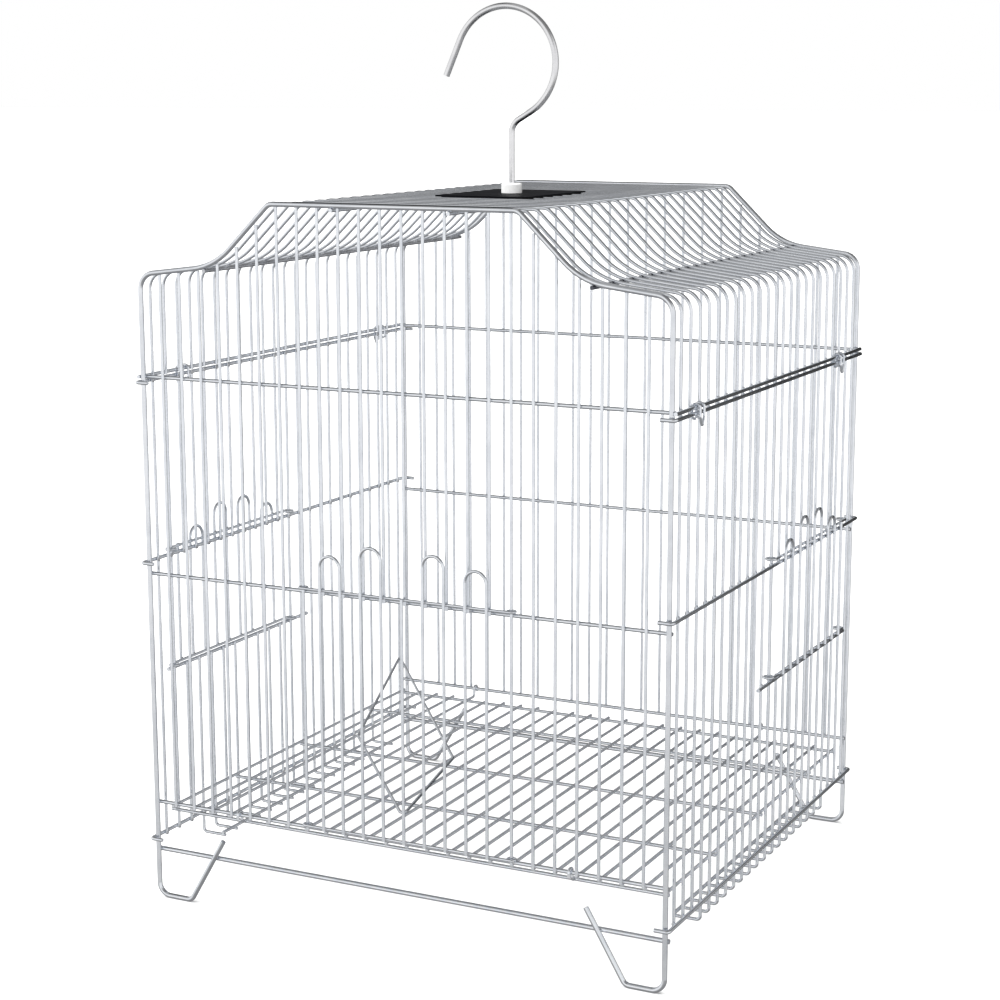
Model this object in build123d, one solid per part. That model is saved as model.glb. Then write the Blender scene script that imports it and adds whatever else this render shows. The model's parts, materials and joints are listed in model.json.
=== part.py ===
from build123d import *
from math import atan, cos, hypot, pi, radians, sin, tan
import os

# Hanging wire crate for small poultry and cage birds, in millimetres. +Z is up, the front faces -Y,
# and the origin is the centre of the footprint on the surface that the four feet stand on.

# Overall size, set by the spacing of the upright wires
PITCH = 14.0
WIDTH = 25 * PITCH
DEPTH = 23.5 * PITCH
HALF_W = WIDTH / 2
HALF_D = DEPTH / 2

# Wire radii
FRAME_R = 1.6
RAIL_R = 1.2
BAR_R = 1.0
EYELET_R = 0.9
CLIP_R = 0.8
HOOK_R = 2.0
WELD = 0.05  # how far two welded wires sink into each other
GAP = 0.3  # least clearance between pieces that move past each other

# Heights of the horizontal wires of the front and back panels
TRAY_BAR_Z = 31.5
BOTTOM_RAIL_Z = 63.1
MID_RAIL_Z = 212.6
UPPER_RAIL_Z = 336.8

# Roof profile: a vertical side, a rounded corner, a shoulder, an S-curve and a flat top
CORNER_Z = 399.8
SHOULDER_SLOPE = 0.1238  # rise per millimetre towards the middle
TOP_Z = 444.4
TOP_HALF = 81.6
STEP_SLOPE = 0.97
CORNER_BEND = 10.5
VALLEY_BEND = 45.0
CREST_BEND = 7.0

# Feet, bent from the ends of the front and back frame wires
FOOT_INNER_X = 150.5
FOOT_TIP_X = 125.3
FOOT_TIP_Z = 44.5
FOOT_BEND = 8.0
FOOT_TIP_BEND = 5.0

# Layers of the front and back panels, measured from the frame wire's centre towards the inside
RAIL_LAYER = FRAME_R + RAIL_R - WELD
BAR_LAYER = RAIL_LAYER - (BAR_R + RAIL_R - WELD)
PANEL_BAR_DEPTH = HALF_D - BAR_LAYER

# Side walls: rails outside the corner posts, upright wires just inside the rails
WALL_RAIL_DEPTH = HALF_W + FRAME_R + RAIL_R + GAP
WALL_BAR_DEPTH = WALL_RAIL_DEPTH - (BAR_R + RAIL_R - WELD)
WALL_LAST_BAR = 11
WALL_TOP_Z = 333.5
WALL_MID_Z = 219.9
WALL_SILL_Z = 145.4
WALL_BOTTOM_Z = 39.5
WALL_HOOK_REACH = 3.3  # how far a rail runs past the post before it turns inwards
WALL_HOOK_LENGTH = 8.5

# Tray ledge at the foot of each side wall
LEDGE_LAST_BAR = 8
LEDGE_Z = 27.0
LEDGE_JOINT_Z = 30.0
LEDGE_INNER_DEPTH = 159.0
LEDGE_BEND = 2.5
LEDGE_WIRE_R = 1.1

# Sliding doors: a wire eyelet at each end of each door bar runs on an upright guide wire
FRONT_EYELET_BEND = 2.3
SIDE_EYELET_BEND = 2.8  # keeps the side door's wires clear of the wall's middle rail
EYELET_SWEEP = 300
FRONT_GUIDES = (-4.5 * PITCH, 5.5 * PITCH)
SIDE_GUIDES = (0.0, 10 * PITCH)
FRONT_DOOR_TOP_Z = 215.3
SIDE_DOOR_TOP_Z = 223.7
FRONT_LOOP_TOPS = (237.0, 244.7, 244.0, 237.7)
SIDE_LOOP_TOPS = (232.4, 242.2, 242.4, 232.0)

# Roof
ROOF_WIRE_DROP = 0.6
ROOF_WIRE_DEPTH = HALF_W + FRAME_R + RAIL_R - WELD - (BAR_R + RAIL_R - WELD)
ROOF_RAIL_DEPTH = HALF_W + FRAME_R + RAIL_R - WELD
SHOULDER_ROD_X = 127.5
RIDGE_ROD_X = 38.5

# Clips that hang each side wall from the roof's lower rail
CLIP_PLACES = (-9.5 * PITCH, 8.5 * PITCH)
CLIP_LEG = 3.0
CLIP_INNER_DEPTH = 175.4
CLIP_OUTER_DEPTH = 180.4
CLIP_TOP_Z = UPPER_RAIL_Z + RAIL_R + CLIP_R - WELD
CLIP_UNDER_Z = 330.4
CLIP_END_DEPTH = 177.6
CLIP_WAIST_Z = 331.5
CLIP_TAIL_Z = 325.5

# Floor grate
GRATE_Z = 57.6
GRATE_HALF_X = 171.3
GRATE_WIRES = 25
GRATE_HALF_Y = 153.0
GRATE_ROD_R = 1.1
GRATE_RODS_Y = (-152.0, -78.0, 4.0, 100.0, 152.0)
HANGER_INDEX = 8  # grate wires this many places from the middle hook over the bottom rails
HANGER_BEND = 2.0
HANGER_TIP_Z = 60.5

# Hook and its fixing in the middle of the roof, between two roof wires
HOOK_Y = -PITCH / 2
HOOK_ARC_X = -4.5
HOOK_ARC_Z = 526.5
HOOK_ARC = 35.0
HOOK_ARC_START = -60.0
HOOK_ARC_END = 156.0
HOOK_BEND = 10.0
HOOK_END_RUN = 24.0
PLATE_X, PLATE_Y, PLATE_T = 64.0, 92.0, 0.9
COLLAR_R, COLLAR_H = 6.6, 6.2
WASHER_R, WASHER_T = 11.0, 1.2
STOP_R, STOP_H = 3.6, 3.2
SWIVEL_GAP = 0.08

# Swing frame of bent wire that lies loose on the grate, one corner up against the left wall
SWING_Z = GRATE_Z + 2 * BAR_R + 0.05
SWING_NEAR = (-26.5, -110.0, SWING_Z)
SWING_LEFT = (-138.5, 26.5, SWING_Z)
SWING_RIGHT = (-54.0, 11.0, SWING_Z)
SWING_HIGH = (-171.0, 146.0, 85.0)
SWING_BEND = 2.2
SWING_SPLIT = 3.0


def rod(start, end, radius):
    """A straight round wire between two points."""
    start, end = Vector(*start), Vector(*end)
    run = end - start
    return Solid.make_cylinder(radius, run.length, Plane(origin=start, z_dir=run))


def bent_wire(points, bends, radius):
    """A round wire through the points, with one bend radius for each inner point."""
    return along(FilletPolyline(*points, radius=list(bends)), radius)


def along(path, radius):
    """A round wire swept along a path."""
    section = Plane(origin=path @ 0, z_dir=path % 0) * Circle(radius)
    return sweep(section, path=path).solid()


def save(name, *solids):
    shape = solids[0] if len(solids) == 1 else Compound(children=list(solids))
    export_step(shape, f"parts/{name}.step")


def turned(solids, angle):
    return [solid.rotate(Axis.Z, angle) for solid in solids]


# ---- Front and back panels -------------------------------------------------------------------


def roof_outline(half_width, low_z, drop=0.0):
    """Points of the roof profile from the left side to the right side, and their bend radii."""
    valley_x = (TOP_Z + STEP_SLOPE * TOP_HALF - CORNER_Z - SHOULDER_SLOPE * HALF_W) / (
        STEP_SLOPE - SHOULDER_SLOPE
    )
    valley_z = CORNER_Z + SHOULDER_SLOPE * (HALF_W - valley_x)
    right = [
        (TOP_HALF, TOP_Z - drop),
        (valley_x, valley_z - drop),
        (half_width, CORNER_Z - drop),
        (half_width, low_z),
    ]
    left = [(-x, z) for x, z in reversed(right)]
    bends = [CORNER_BEND, VALLEY_BEND, CREST_BEND, CREST_BEND, VALLEY_BEND, CORNER_BEND]
    return left + right, bends


def rounded_lines(x, first, second, bend, side):
    """Height at x of two sloping lines joined by an arc; side is 1 where its centre is above."""
    (m1, c1), (m2, c2) = first, second
    lift1, lift2 = (side * bend * hypot(1, m) for m in (m1, m2))
    centre_x = (c2 + lift2 - c1 - lift1) / (m1 - m2)
    centre_z = m1 * centre_x + c1 + lift1
    if x < centre_x + side * bend * sin(atan(m1)):
        return m1 * x + c1
    if x > centre_x + side * bend * sin(atan(m2)):
        return m2 * x + c2
    return centre_z - side * (bend**2 - (x - centre_x) ** 2) ** 0.5


def frame_height(x):
    """Height of the frame wire's centre line over the panel at x."""
    x = abs(x)
    top = (0.0, TOP_Z)
    step = (-STEP_SLOPE, TOP_Z + STEP_SLOPE * TOP_HALF)
    shoulder = (-SHOULDER_SLOPE, CORNER_Z + SHOULDER_SLOPE * HALF_W)
    if x < TOP_HALF + CREST_BEND:
        return rounded_lines(x, top, step, CREST_BEND, -1)
    return rounded_lines(x, step, shoulder, VALLEY_BEND, 1)


def frame_slope(x):
    return abs(frame_height(x + 0.5) - frame_height(x - 0.5))


def under_frame(x):
    """Height at which an upright wire at x meets the frame wire from below."""
    slope = frame_slope(x)
    return frame_height(x) - FRAME_R * hypot(1, slope) - BAR_R * slope + 2 * WELD


def panel_frame(y):
    """The wire round a front or back panel, with a foot at each end."""
    roof, roof_bends = roof_outline(HALF_W, FRAME_R)
    left_foot = [(-FOOT_TIP_X, FOOT_TIP_Z), (-FOOT_INNER_X, FRAME_R)]
    right_foot = [(-x, z) for x, z in reversed(left_foot)]
    points = [(x, y, z) for x, z in left_foot + roof + right_foot]
    bends = [FOOT_TIP_BEND, FOOT_BEND, *roof_bends, FOOT_BEND, FOOT_TIP_BEND]
    return bent_wire(points, bends, FRAME_R)


def panel_rail(side, z, radius=RAIL_R):
    """A horizontal wire behind the corner posts; side is -1 at the front and 1 at the back."""
    y = side * (HALF_D - FRAME_R - radius + WELD)
    return rod((-HALF_W - radius, y, z), (HALF_W + radius, y, z), radius)


def panel_bars(side, places, low_z):
    y = side * PANEL_BAR_DEPTH
    return [rod((x, y, low_z), (x, y, under_frame(x)), BAR_R) for x in places]


def panels():
    bar_places = [(i - 11.5) * PITCH for i in range(24)]
    low = BOTTOM_RAIL_Z - RAIL_R
    first_guide, last_guide = FRONT_GUIDES
    for name, side in (("front", -1), ("back", 1)):
        save(f"{name}_frame", panel_frame(side * HALF_D))
        save(f"{name}_upper_rail", panel_rail(side, UPPER_RAIL_Z))
        save(f"{name}_mid_rail", panel_rail(side, MID_RAIL_Z))
        save(f"{name}_bottom_rail", panel_rail(side, BOTTOM_RAIL_Z))
        save(f"{name}_tray_bar", panel_rail(side, TRAY_BAR_Z, 1.5))
    save("back_bars", *panel_bars(1, bar_places, low))
    left = [x for x in bar_places if x <= first_guide]
    right = [x for x in bar_places if x >= last_guide]
    over_door = [x for x in bar_places if first_guide < x < last_guide]
    save("front_bars_left", *panel_bars(-1, left, low))
    save("front_bars_right", *panel_bars(-1, right, low))
    save("front_bars_over_door", *panel_bars(-1, over_door, MID_RAIL_Z - RAIL_R))


# ---- Doors, built as if on a panel that faces -Y ----------------------------------------------


def door_bar(guides, guide_depth, bend, z):
    """A door's cross wire, whose ends close round the two guide wires as eyelets."""
    left, right = guides
    y = -guide_depth
    loops = [
        CenterArc((left, y, z), bend, -90 - EYELET_SWEEP, EYELET_SWEEP),
        Line((left, y - bend, z), (right, y - bend, z)),
        CenterArc((right, y, z), bend, -90, EYELET_SWEEP),
    ]
    return along(Wire([part.edge() for part in loops]), EYELET_R)


def door_loop(x, y, low_z, top_z):
    """Two neighbouring door wires bent from one length, round at the top."""
    crown = top_z - PITCH / 2
    path = Wire(
        [
            Line((x, y, low_z), (x, y, crown)).edge(),
            ThreePointArc((x, y, crown), (x + PITCH / 2, y, top_z), (x + PITCH, y, crown)).edge(),
            Line((x + PITCH, y, crown), (x + PITCH, y, low_z)).edge(),
        ]
    )
    return along(path, BAR_R)


def door(name, guides, guide_depth, bend, low_z, top_z, loops, plain, angle):
    """loops gives each loop's first wire and its top height, plain the single wires."""
    bars = [door_bar(guides, guide_depth, bend, z) for z in (low_z, top_z)]
    y = -(guide_depth + bend + EYELET_R + BAR_R - WELD)
    foot = low_z - EYELET_R
    wires = [door_loop(x, y, foot, top) for x, top in loops]
    wires += [rod((x, y, foot), (x, y, top_z + EYELET_R), BAR_R) for x in plain]
    save(f"{name}_door_bars", *turned(bars, angle))
    save(f"{name}_door_wires", *turned(wires, angle))


def front_door():
    first = FRONT_GUIDES[0]
    places = [first + i * PITCH for i in (1, 3, 6, 8)]
    low_z = BOTTOM_RAIL_Z + RAIL_R + GAP + EYELET_R
    loops = list(zip(places, FRONT_LOOP_TOPS))
    plain = [first + 5 * PITCH]
    depth, bend = PANEL_BAR_DEPTH, FRONT_EYELET_BEND
    door("front", FRONT_GUIDES, depth, bend, low_z, FRONT_DOOR_TOP_Z, loops, plain, 0)


def side_door(name, angle):
    places = [i * PITCH for i in (1, 3, 5, 7)]
    low_z = WALL_SILL_Z + RAIL_R + GAP + EYELET_R
    loops = list(zip(places, SIDE_LOOP_TOPS))
    plain = [9 * PITCH]
    depth, bend = WALL_BAR_DEPTH, SIDE_EYELET_BEND
    door(name, SIDE_GUIDES, depth, bend, low_z, SIDE_DOOR_TOP_Z, loops, plain, angle)


# ---- Side walls, built as if facing -Y and then turned ----------------------------------------


def wall_rail(z):
    """A rail outside the corner posts, whose ends turn inwards in front of them."""
    reach = HALF_D + WALL_HOOK_REACH
    inner = WALL_RAIL_DEPTH - WALL_HOOK_LENGTH
    points = [
        (-reach, -inner, z),
        (-reach, -WALL_RAIL_DEPTH, z),
        (reach, -WALL_RAIL_DEPTH, z),
        (reach, -inner, z),
    ]
    return bent_wire(points, [2.0, 2.0], RAIL_R)


def wall_bar(index, low_z, high_z):
    x = index * PITCH
    return rod((x, -WALL_BAR_DEPTH, low_z), (x, -WALL_BAR_DEPTH, high_z), BAR_R)


def wall_foot(index):
    """Height of the lower end of an upright wire: on the ledge, or at the bottom rail."""
    return LEDGE_JOINT_Z if abs(index) <= LEDGE_LAST_BAR else WALL_BOTTOM_Z - RAIL_R


def ledge_wire(index):
    """The bent end of an upright wire, which carries the tray."""
    x = index * PITCH
    points = [
        (x, -WALL_BAR_DEPTH, LEDGE_JOINT_Z),
        (x, -WALL_BAR_DEPTH, LEDGE_Z),
        (x, -LEDGE_INNER_DEPTH, LEDGE_Z),
    ]
    return bent_wire(points, [LEDGE_BEND], BAR_R)


def side_wall(name, angle):
    top = WALL_TOP_Z + RAIL_R
    door_zone = range(1, 10)
    full = [i for i in range(-WALL_LAST_BAR, WALL_LAST_BAR + 1) if i not in door_zone]
    ledge = [ledge_wire(i) for i in range(-LEDGE_LAST_BAR, LEDGE_LAST_BAR + 1)]
    edge_y = -LEDGE_INNER_DEPTH - BAR_R
    edge_z = LEDGE_Z + BAR_R + LEDGE_WIRE_R - WELD
    edge_x = LEDGE_LAST_BAR * PITCH + 2
    sill_start, sill_end = SIDE_GUIDES[0] - 25, SIDE_GUIDES[1] + 4
    pieces = {
        "top_rail": [wall_rail(WALL_TOP_Z)],
        "mid_rail": [wall_rail(WALL_MID_Z)],
        "bottom_rail": [wall_rail(WALL_BOTTOM_Z)],
        "sill": [
            rod(
                (sill_start, -WALL_RAIL_DEPTH, WALL_SILL_Z),
                (sill_end, -WALL_RAIL_DEPTH, WALL_SILL_Z),
                RAIL_R,
            )
        ],
        "bars": [wall_bar(i, wall_foot(i), top) for i in full],
        "bars_over_door": [wall_bar(i, WALL_MID_Z - RAIL_R, top) for i in door_zone],
        "bars_under_door": [
            wall_bar(i, wall_foot(i), WALL_SILL_Z + RAIL_R) for i in door_zone
        ],
        "tray_ledge": ledge,
        "tray_ledge_edge": [rod((-edge_x, edge_y, edge_z), (edge_x, edge_y, edge_z), LEDGE_WIRE_R)],
    }
    for piece, solids in pieces.items():
        save(f"{name}_wall_{piece}", *turned(solids, angle))


def clip(place):
    """A wire clip over the roof's lower rail and round the wall's top rail."""
    leg = [
        (CLIP_END_DEPTH, CLIP_UNDER_Z),
        (CLIP_INNER_DEPTH, CLIP_UNDER_Z),
        (CLIP_INNER_DEPTH, CLIP_TOP_Z),
        (CLIP_OUTER_DEPTH, CLIP_TOP_Z),
        (CLIP_OUTER_DEPTH, CLIP_WAIST_Z),
    ]
    down = [(place + CLIP_LEG, -depth, z) for depth, z in leg]
    up = [(place - CLIP_LEG, -depth, z) for depth, z in reversed(leg)]
    tail = [(place, -CLIP_OUTER_DEPTH, CLIP_TAIL_Z)]
    bends = [1.2, 2.2, 2.2, 2.0]
    return bent_wire(down + tail + up, bends + [0.9] + bends[::-1], CLIP_R)


# ---- Roof -------------------------------------------------------------------------------------


def roof():
    points, bends = roof_outline(ROOF_WIRE_DEPTH, UPPER_RAIL_Z - RAIL_R, ROOF_WIRE_DROP)
    wires = [
        bent_wire([(x, k * PITCH, z) for x, z in points], bends, BAR_R)
        for k in range(-WALL_LAST_BAR, WALL_LAST_BAR + 1)
    ]
    save("roof_wires", *wires)
    reach = HALF_D + FRAME_R
    rod_drop = RAIL_LAYER * hypot(1, frame_slope(SHOULDER_ROD_X))
    shoulder_z = frame_height(SHOULDER_ROD_X) - rod_drop
    ridge_z = TOP_Z - RAIL_LAYER
    for name, x, z in (
        ("lower_rail", ROOF_RAIL_DEPTH, UPPER_RAIL_Z),
        ("shoulder_rod", SHOULDER_ROD_X, shoulder_z),
        ("ridge_rod", RIDGE_ROD_X, ridge_z),
    ):
        save(f"roof_{name}_left", rod((-x, -reach, z), (-x, reach, z), RAIL_R))
        save(f"roof_{name}_right", rod((x, -reach, z), (x, reach, z), RAIL_R))
    for name, angle in (("right", 90), ("left", -90)):
        save(f"{name}_clips", *turned([clip(place) for place in CLIP_PLACES], angle))


# ---- Floor grate ------------------------------------------------------------------------------


def grate_hanger(x):
    """A grate wire whose ends go up and over the front and back bottom rails."""
    rail_depth = HALF_D - RAIL_LAYER
    inside = rail_depth - RAIL_R - BAR_R - WELD
    outside = rail_depth + RAIL_R + BAR_R + WELD
    over = BOTTOM_RAIL_Z + RAIL_R + BAR_R - WELD
    back = [(x, inside, GRATE_Z), (x, inside, over), (x, outside, over), (x, outside, HANGER_TIP_Z)]
    front = [(x, -y, z) for x, y, z in reversed(back)]
    return bent_wire(front + back, [HANGER_BEND] * 6, BAR_R)


def floor_grate():
    spacing = 2 * GRATE_HALF_X / (GRATE_WIRES - 1)
    middle = GRATE_WIRES // 2
    places = {i: i * spacing for i in range(-middle, middle + 1)}
    hangers = [grate_hanger(x) for i, x in places.items() if abs(i) == HANGER_INDEX]
    wires = [
        rod((x, -GRATE_HALF_Y, GRATE_Z), (x, GRATE_HALF_Y, GRATE_Z), BAR_R)
        for i, x in places.items()
        if abs(i) != HANGER_INDEX
    ]
    rod_z = GRATE_Z - BAR_R - GRATE_ROD_R + WELD
    rod_x = GRATE_HALF_X + BAR_R
    rods = [rod((-rod_x, y, rod_z), (rod_x, y, rod_z), GRATE_ROD_R) for y in GRATE_RODS_Y]
    save("floor_grate_wires", *wires)
    save("floor_grate_hangers", *hangers)
    save("floor_grate_rods", *rods)


# ---- Hook and its fixing ----------------------------------------------------------------------


def hook_path(foot_z):
    start, end = radians(HOOK_ARC_START), radians(HOOK_ARC_END)
    on_arc = (HOOK_ARC_X + HOOK_ARC * cos(start), HOOK_ARC_Z + HOOK_ARC * sin(start))
    slope = radians(90 + HOOK_ARC_START)
    corner_z = on_arc[1] - on_arc[0] * tan(slope)
    tangent = HOOK_BEND * tan((pi / 2 - slope) / 2)
    bend_low = (0, corner_z - tangent)
    bend_high = (tangent * cos(slope), corner_z + tangent * sin(slope))
    middle = radians((HOOK_ARC_START + HOOK_ARC_END) / 2)
    arc_middle = (HOOK_ARC_X + HOOK_ARC * cos(middle), HOOK_ARC_Z + HOOK_ARC * sin(middle))
    arc_end = (HOOK_ARC_X + HOOK_ARC * cos(end), HOOK_ARC_Z + HOOK_ARC * sin(end))
    free_end = (arc_end[0] - HOOK_END_RUN * sin(end), arc_end[1] + HOOK_END_RUN * cos(end))

    def at(point):
        return Vector(point[0], HOOK_Y, point[1])

    bend_centre = (HOOK_BEND, bend_low[1])
    half_turn = (pi / 2 - slope) / 2
    bend_middle = (
        bend_centre[0] - HOOK_BEND * cos(half_turn),
        bend_centre[1] + HOOK_BEND * sin(half_turn),
    )
    return Wire(
        [
            Line(at((0, foot_z)), at(bend_low)).edge(),
            ThreePointArc(at(bend_low), at(bend_middle), at(bend_high)).edge(),
            Line(at(bend_high), at(on_arc)).edge(),
            ThreePointArc(at(on_arc), at(arc_middle), at(arc_end)).edge(),
            Line(at(arc_end), at(free_end)).edge(),
        ]
    )


def hook_fixing():
    centre = Pos(0, HOOK_Y, 0)
    wire_top = TOP_Z - ROOF_WIRE_DROP + BAR_R
    wire_bottom = wire_top - 2 * BAR_R
    plate_top = wire_top + PLATE_T
    hole = HOOK_R + SWIVEL_GAP
    upright = (Align.CENTER, Align.CENTER, Align.MIN)

    plate = Box(PLATE_X, PLATE_Y, PLATE_T, align=upright)
    plate = fillet(plate.edges().filter_by(Axis.Z), 4.0)
    plate = Pos(0, 0, wire_top) * (plate - Cylinder(hole, 9 * PLATE_T))
    save("hook_plate", (centre * plate).solid())

    collar = Cylinder(COLLAR_R, COLLAR_H, align=upright)
    collar = chamfer(collar.edges().group_by(Axis.Z)[-1], 0.8)
    collar -= Cylinder(hole, 3 * COLLAR_H)
    save("hook_collar", (centre * Pos(0, 0, plate_top) * collar).solid())

    washer = Cylinder(WASHER_R, WASHER_T, align=upright) - Cylinder(hole, 9 * WASHER_T)
    washer_z = wire_bottom - WASHER_T
    save("hook_washer", (centre * Pos(0, 0, washer_z) * washer).solid())

    stop_top = washer_z - GAP
    hook = along(hook_path(stop_top - 0.5), HOOK_R)
    save("hook", hook)
    stop = Cylinder(STOP_R, STOP_H, align=upright)
    stop = chamfer(stop.edges().group_by(Axis.Z)[0], 0.6)
    stop = Pos(0, HOOK_Y, stop_top - STOP_H) * stop
    save("hook_stop", (stop - hook).solid())


def swing_frame():
    """A four-sided wire frame, whose two ends meet at its raised corner."""
    high = Vector(*SWING_HIGH)
    ends = [high + (Vector(*c) - high).normalized() * SWING_SPLIT for c in (SWING_LEFT, SWING_RIGHT)]
    points = [ends[0], SWING_LEFT, SWING_NEAR, SWING_RIGHT, ends[1]]
    save("swing_frame", bent_wire(points, [SWING_BEND] * 3, BAR_R))


os.makedirs("parts", exist_ok=True)
panels()
front_door()
side_wall("right", 90)
side_wall("left", -90)
side_door("right", 90)
side_door("left", -90)
roof()
floor_grate()
hook_fixing()
swing_frame()
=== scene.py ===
import json
import math

import bmesh
import bpy
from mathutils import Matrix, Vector


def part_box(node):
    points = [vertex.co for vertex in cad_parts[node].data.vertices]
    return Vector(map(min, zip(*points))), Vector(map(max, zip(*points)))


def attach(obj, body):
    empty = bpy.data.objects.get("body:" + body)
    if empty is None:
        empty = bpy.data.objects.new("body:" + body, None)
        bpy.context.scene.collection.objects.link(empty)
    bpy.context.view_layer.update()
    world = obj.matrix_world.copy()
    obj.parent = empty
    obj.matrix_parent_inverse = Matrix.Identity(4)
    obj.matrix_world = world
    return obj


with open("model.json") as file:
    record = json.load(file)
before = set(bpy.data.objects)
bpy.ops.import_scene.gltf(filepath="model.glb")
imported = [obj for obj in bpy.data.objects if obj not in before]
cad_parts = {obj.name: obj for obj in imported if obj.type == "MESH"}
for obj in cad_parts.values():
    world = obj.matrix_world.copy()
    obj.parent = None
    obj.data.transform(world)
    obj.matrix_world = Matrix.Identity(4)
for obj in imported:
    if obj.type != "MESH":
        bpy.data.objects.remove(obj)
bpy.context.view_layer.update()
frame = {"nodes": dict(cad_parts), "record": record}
nodes = frame["nodes"]


# ---------------------------------------------------------------- materials


class Nodes:
    """Builds one node material, socket by socket."""

    def __init__(self, name):
        self.material = bpy.data.materials.new(name)
        self.material.use_nodes = True
        self.tree = self.material.node_tree
        self.shader = self.tree.nodes["Principled BSDF"]

    def add(self, kind, **settings):
        node = self.tree.nodes.new("ShaderNode" + kind)
        for key, value in settings.items():
            setattr(node, key, value)
        return node

    def link(self, a, b):
        self.tree.links.new(a, b)

    def noise(self, scale, detail, roughness=0.55):
        source = self.add("TexCoord").outputs["Object"]
        node = self.add("TexNoise")
        node.inputs["Scale"].default_value = scale
        node.inputs["Detail"].default_value = detail
        node.inputs["Roughness"].default_value = roughness
        self.link(source, node.inputs["Vector"])
        return node.outputs["Fac"]

    def ramp(self, value, stops):
        node = self.add("ValToRGB")
        ramp = node.color_ramp
        while len(ramp.elements) < len(stops):
            ramp.elements.new(0.5)
        for element, (position, colour) in zip(ramp.elements, stops):
            element.position = position
            element.color = (*colour, 1.0)
        self.link(value, node.inputs["Fac"])
        return node.outputs["Color"]

    def spread(self, value, low, high, start=0.3, end=0.7):
        node = self.add("MapRange")
        node.inputs["From Min"].default_value = start
        node.inputs["From Max"].default_value = end
        node.inputs["To Min"].default_value = low
        node.inputs["To Max"].default_value = high
        self.link(value, node.inputs["Value"])
        return node.outputs["Result"]

    def maths(self, operation, a, b):
        node = self.add("Math", operation=operation)
        for socket, value in zip(node.inputs, (a, b)):
            if isinstance(value, (int, float)):
                socket.default_value = value
            else:
                self.link(value, socket)
        return node.outputs["Value"]

    def bump(self, height, strength, distance):
        node = self.add("Bump")
        node.inputs["Strength"].default_value = strength
        node.inputs["Distance"].default_value = distance
        self.link(height, node.inputs["Height"])
        self.link(node.outputs["Normal"], self.shader.inputs["Normal"])


def plated_wire(name, bright, dull, rough_low, rough_high):
    """Zinc plated wire: bright metal with cloudy patches, fine grain and dull specks."""
    m = Nodes(name)
    clouds = m.noise(scale=55.0, detail=3.0)
    grain = m.noise(scale=900.0, detail=3.0, roughness=0.6)
    specks = m.noise(scale=1700.0, detail=2.0, roughness=0.5)
    m.link(m.ramp(clouds, [(0.32, dull), (0.62, bright)]), m.shader.inputs["Base Color"])
    cloud_rough = m.spread(clouds, low=rough_high, high=rough_low)
    rough = m.maths("ADD", cloud_rough, m.spread(grain, low=-0.03, high=0.05))
    dull_specks = m.spread(specks, low=0.0, high=0.12, start=0.66, end=0.74)
    m.link(m.maths("ADD", rough, dull_specks), m.shader.inputs["Roughness"])
    m.shader.inputs["Metallic"].default_value = 1.0
    m.bump(grain, strength=0.25, distance=0.00004)
    return m.material


def painted_plate(name):
    """Black baked paint on sheet steel, with fine orange peel and rubbed patches."""
    m = Nodes(name)
    peel = m.noise(scale=1400.0, detail=2.0)
    rubs = m.noise(scale=70.0, detail=5.0, roughness=0.6)
    m.link(m.ramp(rubs, [(0.35, (0.0015, 0.0018, 0.003)), (0.7, (0.004, 0.0045, 0.006))]),
           m.shader.inputs["Base Color"])
    m.link(m.spread(rubs, low=0.42, high=0.58), m.shader.inputs["Roughness"])
    m.shader.inputs["Specular IOR Level"].default_value = 0.05
    m.bump(peel, strength=0.3, distance=0.00005)
    return m.material


def moulded_plastic(name):
    """White moulded plastic with a soft gloss and faint flow marks."""
    m = Nodes(name)
    flow = m.noise(scale=160.0, detail=3.0)
    m.link(m.ramp(flow, [(0.3, (0.90, 0.90, 0.89)), (0.7, (0.95, 0.95, 0.95))]),
           m.shader.inputs["Base Color"])
    m.link(m.spread(flow, low=0.20, high=0.32), m.shader.inputs["Roughness"])
    m.bump(m.noise(scale=900.0, detail=2.0), strength=0.15, distance=0.00004)
    return m.material


MATERIALS = {
    "bright_wire": plated_wire(
        "bright_wire_plating", (0.88, 0.905, 0.945), (0.78, 0.81, 0.86), rough_low=0.13, rough_high=0.2
    ),
    "frame_wire": plated_wire(
        "frame_wire_plating", (0.85, 0.87, 0.905), (0.74, 0.765, 0.81), rough_low=0.10, rough_high=0.17
    ),
    "hook_steel": plated_wire(
        "hook_plating", (0.90, 0.90, 0.91), (0.80, 0.80, 0.82), rough_low=0.14, rough_high=0.24
    ),
    "black_plate": painted_plate("black_paint"),
    "white_collar": moulded_plastic("white_moulding"),
}

for part in frame["record"]["subparts"]:
    mesh = nodes[part["node"]].data
    mesh.materials.clear()
    mesh.materials.append(MATERIALS[part["material_slot"]])

# Painted shade: the rods under the shoulders get darker plating colours than the rest, the right one
# darkest. The dark colour stands in for the shade and dark reflections on them.
PAINTED_SHADE_WIRE = {
    "left": plated_wire(
        "shoulder_rod_painted_shade_left", (0.66, 0.67, 0.70), (0.48, 0.49, 0.52),
        rough_low=0.18, rough_high=0.28,
    ),
    # Painted shade: near black plating colour on the right rod.
    "right": plated_wire(
        "shoulder_rod_painted_shade_right", (0.13, 0.135, 0.155), (0.07, 0.075, 0.09),
        rough_low=0.2, rough_high=0.3,
    ),
}
for side, material in PAINTED_SHADE_WIRE.items():
    nodes[f"roof_shoulder_rod_{side}"].data.materials[0] = material


# ---------------------------------------------------------------- weld beads

X, Y, Z = 0, 1, 2

# Lengths in metres
ABOVE_ALL = 1.0
WIRE_GAP = 0.004  # vertices further apart than this belong to separate wires
END_MARGIN = 0.0015  # a wire that stops this short of another still reaches it
DOOR_FOOT = 0.003  # the straight foot of a door's upright wires, clear of their loops
RAY_START = 0.1
GRATE_OVERLAP = 0.0001
BEAD_RADIUS = 0.00128
BEAD_VARIATION = 0.0001
BEAD_THICKNESS = 0.00062

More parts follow.
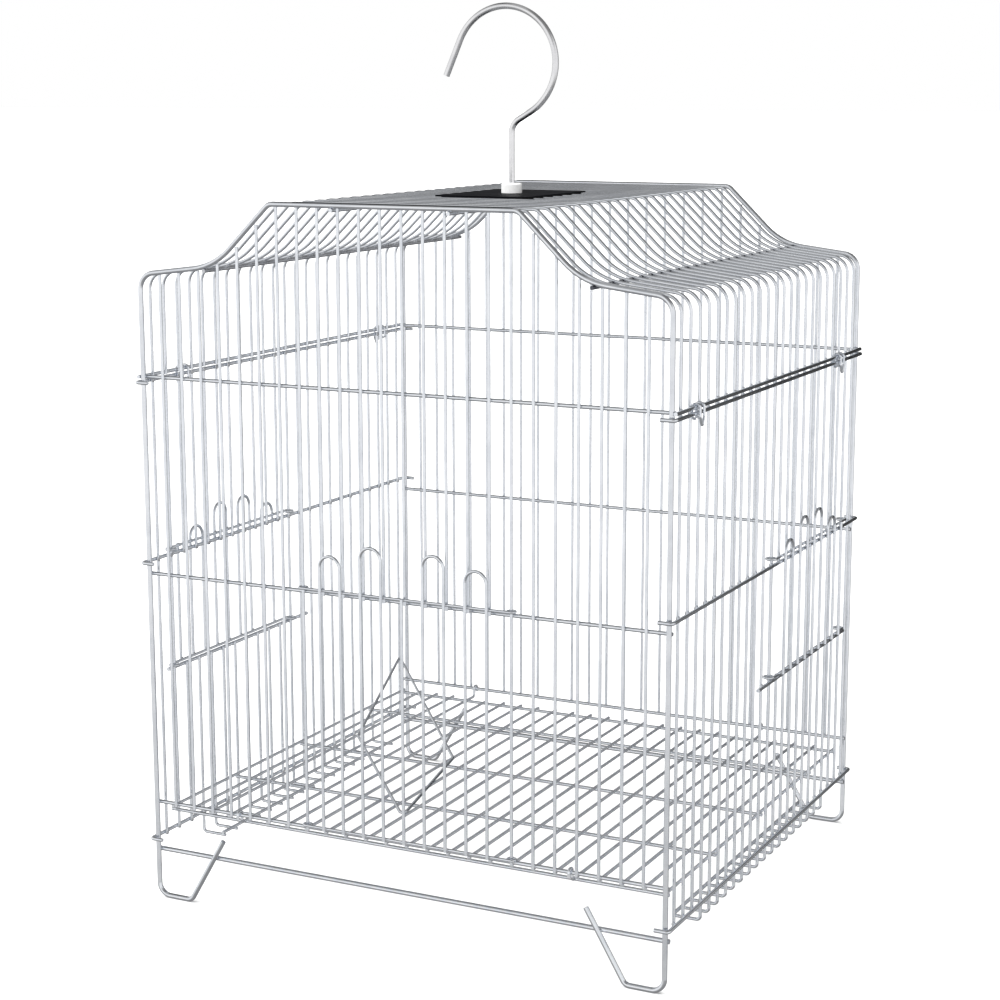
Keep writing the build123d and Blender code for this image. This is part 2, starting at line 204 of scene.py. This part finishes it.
TOUCH = 0.46  # where two welded wires touch, as a part of the way from one centre to the other
ROOF_TOUCH = 0.9935  # where the roof wires touch the lower rail, as a part of the rail's depth
LUMPS = 0.06  # how uneven a bead is, as a part of its radius


def wire_centres(node, axis, top=ABOVE_ALL):
    """Centres along one axis of a node's parallel wires, from the vertices below a height."""
    values = sorted(v.co[axis] for v in nodes[node].data.vertices if v.co[Z] < top)
    groups, start = [], 0
    for i in range(1, len(values) + 1):
        if i == len(values) or values[i] - values[i - 1] > WIRE_GAP:
            groups.append((values[start] + values[i - 1]) / 2)
            start = i
    return groups


def middle(node, axis):
    low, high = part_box(node)
    return (low[axis] + high[axis]) / 2


def crosses(node, axis, value):
    low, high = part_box(node)
    return low[axis] - END_MARGIN <= value <= high[axis] + END_MARGIN


def crossings(bars, rails, spread, up, depth):
    """Where a panel's bars, side by side along spread, cross its rails."""
    places = []
    for rail in rails:
        level = middle(rail, up)
        for bar in bars:
            if not crosses(bar, up, level):
                continue
            bar_depth, rail_depth = middle(bar, depth), middle(rail, depth)
            touch = bar_depth + (rail_depth - bar_depth) * TOUCH
            for centre in wire_centres(bar, spread):
                if crosses(rail, spread, centre):
                    place = [0.0, 0.0, 0.0]
                    place[spread], place[up], place[depth] = centre, level, touch
                    places.append(tuple(place))
    return places


def surface(node, start, axis):
    """Middle of a node on a line along one axis, from where a ray from each end first meets it, or None."""
    obj, hits = nodes[node], []
    for sign in (1, -1):
        origin, direction = Vector(start), Vector((0.0, 0.0, 0.0))
        origin[axis] = start[axis] - sign * RAY_START
        direction[axis] = sign
        found, place, _, _ = obj.ray_cast(origin, direction)
        if not found:
            return None
        hits.append(place[axis])
    return sum(hits) / 2


def door_crossings(door, spread, depth):
    """Where a door's upright wires cross its bars."""
    wires, bars = door + "_wires", door + "_bars"
    wire_depth = middle(wires, depth)
    places = []
    for level in wire_centres(bars, Z):
        for centre in wire_centres(wires, spread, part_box(wires)[0].z + DOOR_FOOT):
            place = [0.0, 0.0, level]
            place[spread], place[depth] = centre, wire_depth
            bar_depth = surface(bars, place, depth)
            if bar_depth is not None and surface(wires, place, depth) is not None:
                place[depth] = wire_depth + (bar_depth - wire_depth) * TOUCH
                places.append(tuple(place))
    return places


def weld_beads(name, body, places, thin_axis):
    """Small flattened beads of squeezed out metal, one at each welded crossing."""
    ball = bmesh.new()
    bmesh.ops.create_icosphere(ball, subdivisions=2, radius=1.0)
    shape = [v.co.copy() for v in ball.verts]
    faces = [tuple(v.index for v in f.verts) for f in ball.faces]
    ball.free()
    vertices, polygons = [], []
    for n, place in enumerate(places):
        base = len(vertices)
        size = [BEAD_RADIUS + BEAD_VARIATION * math.sin(7.3 * n + k) for k in range(3)]
        size[thin_axis] = BEAD_THICKNESS
        for co in shape:
            lump = 1 + LUMPS * math.sin(5 * co.x + 2.1 * n) * math.cos(4 * co.y + 1.3 * n + 3 * co.z)
            vertices.append([place[k] + co[k] * size[k] * lump for k in range(3)])
        polygons += [tuple(base + i for i in f) for f in faces]
    mesh = bpy.data.meshes.new(name)
    mesh.from_pydata(vertices, [], polygons)
    mesh.shade_smooth()
    mesh.materials.append(WELD_METAL)
    obj = bpy.data.objects.new(name, mesh)
    bpy.context.scene.collection.objects.link(obj)
    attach(obj, body)


WELD_METAL = plated_wire(
    "weld_metal", (0.74, 0.75, 0.77), (0.55, 0.56, 0.58), rough_low=0.26, rough_high=0.4
)

for side in ("front", "back"):
    bars = [n for n in nodes if n.startswith(side + "_bars")]
    rails = [f"{side}_{rail}_rail" for rail in ("upper", "mid", "bottom")]
    weld_beads(f"{side}_welds", "crate", crossings(bars, rails, X, Z, Y), Y)
for side in ("left", "right"):
    bars = [n for n in nodes if n.startswith(side + "_wall_bars")]
    rails = [f"{side}_wall_{rail}" for rail in ("top_rail", "mid_rail", "bottom_rail", "sill")]
    weld_beads(f"{side}_wall_welds", side + "_wall", crossings(bars, rails, Y, Z, X), X)
    rail = f"roof_lower_rail_{side}"
    touch = middle(rail, X) * ROOF_TOUCH
    roof_places = [(touch, y, middle(rail, Z)) for y in wire_centres("roof_wires", Y)]
    weld_beads(f"roof_{side}_welds", "crate", roof_places, X)

for door, spread, depth in (("front_door", X, Y), ("left_door", Y, X), ("right_door", Y, X)):
    weld_beads(door + "_welds", door, door_crossings(door, spread, depth), depth)

rod_places = []
for rod in ("ridge_rod_left", "ridge_rod_right", "shoulder_rod_left", "shoulder_rod_right"):
    x, top = middle("roof_" + rod, X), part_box("roof_" + rod)[1].z
    rod_places += [(x, y, top) for y in wire_centres("roof_wires", Y)]
weld_beads("roof_rod_welds", "crate", rod_places, Z)

grate_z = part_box("floor_grate_wires")[0].z + GRATE_OVERLAP
grate_places = []
for y in wire_centres("floor_grate_rods", Y):
    for bars in ("floor_grate_wires", "floor_grate_hangers"):
        grate_places += [(x, y, grate_z) for x in wire_centres(bars, X)]
weld_beads("floor_grate_welds", "crate", grate_places, Z)


# ---------------------------------------------------------------- floor, light and camera


FLOOR_REACH = 40.0


def floor():
    """A wide pale floor that polished wires don't reflect."""
    mesh = bpy.data.meshes.new("floor")
    signs = ((-1, -1), (1, -1), (1, 1), (-1, 1))
    mesh.from_pydata([(FLOOR_REACH * x, FLOOR_REACH * y, 0) for x, y in signs], [], [(0, 1, 2, 3)])
    obj = bpy.data.objects.new("floor", mesh)
    bpy.context.scene.collection.objects.link(obj)
    obj.visible_glossy = False
    m = Nodes("floor_paint")
    m.shader.inputs["Base Color"].default_value = (0.92, 0.92, 0.92, 1.0)
    m.shader.inputs["Roughness"].default_value = 0.9
    m.shader.inputs["Specular IOR Level"].default_value = 0.0
    mesh.materials.append(m.material)


def studio():
    """A white studio with dark boards for the polished wires to reflect, unseen by the camera."""
    world = bpy.data.worlds.new("studio")
    world.use_nodes = True
    bpy.context.scene.world = world
    tree = world.node_tree
    background = tree.nodes["Background"]
    direction = tree.nodes.new("ShaderNodeTexCoord").outputs["Generated"]
    split = tree.nodes.new("ShaderNodeSeparateXYZ")
    tree.links.new(direction, split.inputs["Vector"])

    def curve(value, stops):
        """Brightness at each value of one part of the direction, from -1 to 1."""
        span = tree.nodes.new("ShaderNodeMapRange")
        span.inputs["From Min"].default_value = -1.0
        tree.links.new(value, span.inputs["Value"])
        node = tree.nodes.new("ShaderNodeValToRGB")
        while len(node.color_ramp.elements) < len(stops):
            node.color_ramp.elements.new(0.5)
        for element, (position, level) in zip(node.color_ramp.elements, stops):
            element.position = (position + 1) / 2
            element.color = (level, level, level, 1)
        tree.links.new(span.outputs["Result"], node.inputs["Fac"])
        return node.outputs["Color"]

    def combine(operation, a, b):
        node = tree.nodes.new("ShaderNodeMath")
        node.operation = operation
        tree.links.new(a, node.inputs[0])
        tree.links.new(b, node.inputs[1])
        return node.outputs["Value"]

    # A board straight behind, left open high up on the left
    behind = curve(split.outputs["Y"], [
        (-1, 0.95), (-0.1, 0.95), (0.3, 0.8), (0.707, 0.64), (0.809, 0.56), (0.857, 0.45),
        (0.883, 0.3), (0.903, 0.14), (0.92, 0.06), (0.945, 0.02), (1, 0.02),
    ])
    beside = curve(split.outputs["X"], [(-1, 1.0), (-0.3, 1.0), (-0.16, 0.0), (1, 0.0)])
    lifted = curve(split.outputs["Z"], [(-1, 0.0), (0.06, 0.0), (0.12, 0.6), (1, 0.6)])
    behind = combine("MAXIMUM", behind, combine("MULTIPLY", beside, lifted))

    # Darker well above and well below the horizon
    height = curve(split.outputs["Z"], [
        (-1, 0.3), (-0.5, 0.36), (-0.36, 0.66), (-0.2, 1.0), (0.42, 1.0), (0.68, 0.5), (1, 0.45),
    ])

    # A narrow board to the left, behind the cage and above the horizon
    board = curve(split.outputs["X"], [
        (-1, 0.9), (-0.62, 0.8), (-0.54, 0.2), (-0.42, 0.16), (-0.34, 0.8), (-0.28, 1.0),
    ])
    below = curve(split.outputs["Z"], [(-1, 1.0), (-0.03, 1.0), (0.005, 0.0), (1, 0.0)])
    front = curve(split.outputs["Y"], [(-1, 1.0), (-0.25, 1.0), (-0.05, 0.0), (1, 0.0)])
    board = combine("MAXIMUM", board, combine("MAXIMUM", below, front))

    # A half dark board high up on the right
    aside = curve(split.outputs["X"], [(-1, 1.0), (0.02, 1.0), (0.12, 0.0), (0.6, 0.0), (0.8, 1.0)])
    low = curve(split.outputs["Z"], [(-1, 1.0), (0.22, 1.0), (0.34, 0.5), (1, 0.5)])
    high_board = combine("MAXIMUM", aside, low)

    level = combine("MULTIPLY", combine("MULTIPLY", behind, height), board)
    level = combine("MULTIPLY", level, high_board)
    camera_ray = tree.nodes.new("ShaderNodeLightPath").outputs["Is Camera Ray"]
    tree.links.new(combine("MAXIMUM", level, camera_ray), background.inputs["Color"])


def sun(name, towards, strength, angle):
    """A soft light of a given angular width, which polished wires don't reflect."""
    light = bpy.data.lights.new(name, "SUN")
    light.energy = strength
    light.angle = math.radians(angle)
    obj = bpy.data.objects.new(name, light)
    obj.rotation_euler = Vector(towards).to_track_quat("-Z", "Y").to_euler()
    obj.visible_glossy = False
    bpy.context.scene.collection.objects.link(obj)


CAMERA_PLACE = (0.6139, -1.2503, 0.5124)
CAMERA_DIP, CAMERA_ROLL, CAMERA_TURN = 10.822, 0.10, 26.58
LENS, SENSOR_WIDTH, FARTHEST = 78.02, 36.0, 200.0


def camera():
    data = bpy.data.cameras.new("camera")
    data.lens, data.sensor_width = LENS, SENSOR_WIDTH
    data.clip_end = FARTHEST
    obj = bpy.data.objects.new("camera", data)
    obj.location = CAMERA_PLACE
    obj.rotation_euler = [math.radians(angle) for angle in (90 - CAMERA_DIP, CAMERA_ROLL, CAMERA_TURN)]
    bpy.context.scene.collection.objects.link(obj)
    bpy.context.scene.camera = obj


floor()
studio()
sun("overhead_softbox", towards=(0.25, 0.35, -1), strength=5.2, angle=90)
camera()
bpy.context.scene.view_settings.view_transform = "Standard"
